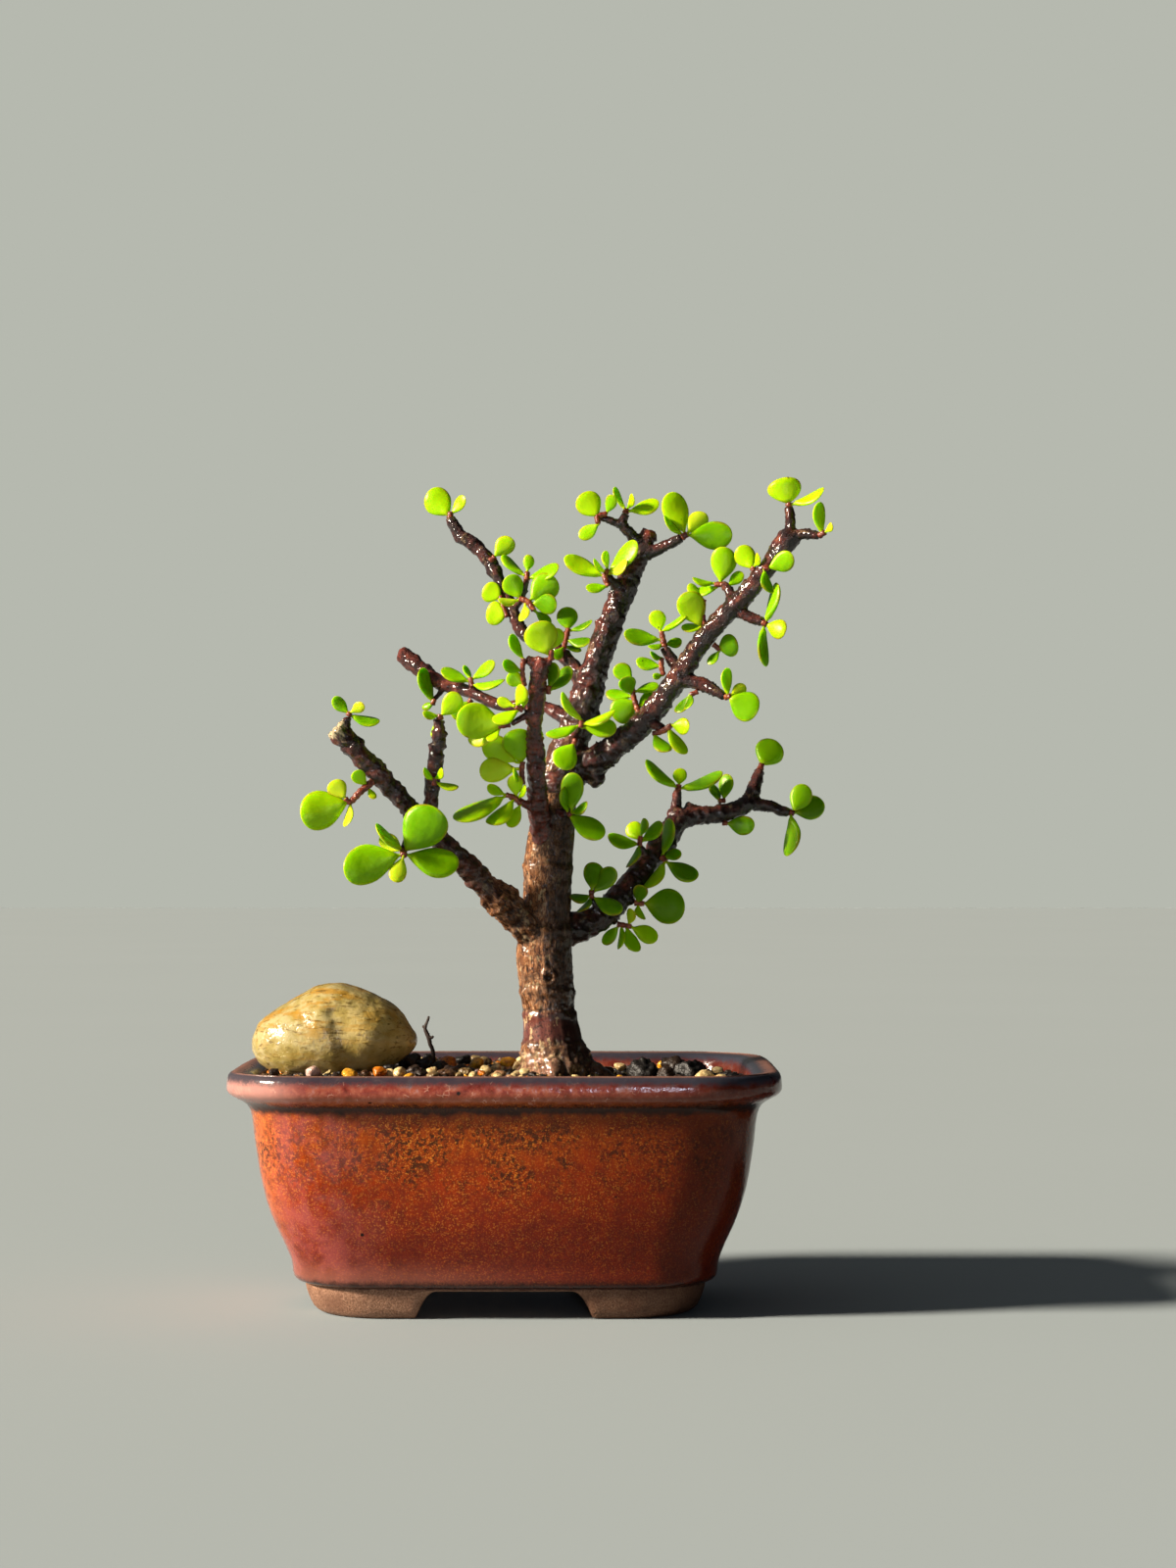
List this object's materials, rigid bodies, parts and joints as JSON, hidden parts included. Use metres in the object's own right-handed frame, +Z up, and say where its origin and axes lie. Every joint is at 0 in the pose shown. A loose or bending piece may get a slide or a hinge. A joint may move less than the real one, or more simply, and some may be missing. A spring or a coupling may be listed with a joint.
{
  "type": "bonsai tree in a pot",
  "caption": "Small jade bonsai with a bent woody trunk and fleshy paired leaves, planted with a river stone in a glazed rectangular clay pot on feet.",
  "frame": {"origin": "on the table, under the middle of the box round the whole plant and pot", "axes": "+Z up, +X to the right of the pot's front, +Y to the back"},
  "size_m": [0.1668, 0.111, 0.2313],
  "materials": {
    "glaze": "satin",
    "net": "satin",
    "soil": "matte",
    "stone": "polished",
    "stalk": "matte",
    "bark": "satin",
    "lime": "satin",
    "fresh": "satin",
    "leaf": "satin",
    "dark": "satin"
  },
  "bodies": {
    "root": {"pot": "glaze", "drainage_mesh_left": "net", "drainage_mesh_right": "net", "soil": "soil", "river_stone": "stone", "dry_stalk": "stalk", "trunk_and_branches": "bark", "leaves_upper_left_tip": "lime", "leaf_upper_left_bend": "lime", "leaves_crown_left_high": "fresh", "leaves_crown_left_low": "leaf", "leaves_crown_left_outer": "lime", "leaves_crown_inner": "dark", "leaves_slender_top": "lime", "leaves_slender_top_left": "fresh", "leaves_slender_right": "dark", "leaves_slender_left": "lime", "leaves_slender_big": "lime", "leaves_slender_middle": "fresh", "leaves_slender_low": "lime", "leaves_centre_front": "fresh", "leaf_centre_round": "leaf", "leaves_trunk_twig": "leaf", "leaves_leader_left": "fresh", "leaves_top_left": "fresh", "leaves_top_middle": "lime", "leaves_top_right": "fresh", "leaves_far_right_top": "fresh", "leaves_far_right_tip": "leaf", "leaves_right_front": "leaf", "leaves_right_back": "lime", "leaves_right_middle": "leaf", "leaves_right_inner": "fresh", "leaves_right_left": "lime", "leaves_fork_upper": "leaf", "leaves_fork_lower": "leaf", "leaves_between": "leaf", "leaves_right_low": "dark", "leaves_right_under": "leaf", "leaves_right_notch": "dark", "leaves_bent_twig": "leaf", "leaves_far_left_back": "fresh", "leaf_far_left_hanging": "leaf", "leaves_far_left_twig": "leaf", "leaves_upright_top": "lime", "leaves_upright_middle": "lime", "leaves_left_outer": "lime", "leaves_left_cut_end": "leaf", "leaves_left_front": "dark", "leaves_lower_right_twig": "leaf", "leaves_lower_right_back": "dark", "leaf_lower_right_under": "leaf", "leaf_lower_right_top": "leaf", "leaves_lower_right_end": "dark", "leaves_lower_right_inner": "leaf", "leaves_lower_right_front": "dark", "leaves_lower_right_dark": "dark", "leaves_lower_right_low": "fresh", "leaves_trunk_right": "dark"}
  },
  "joints": []
}
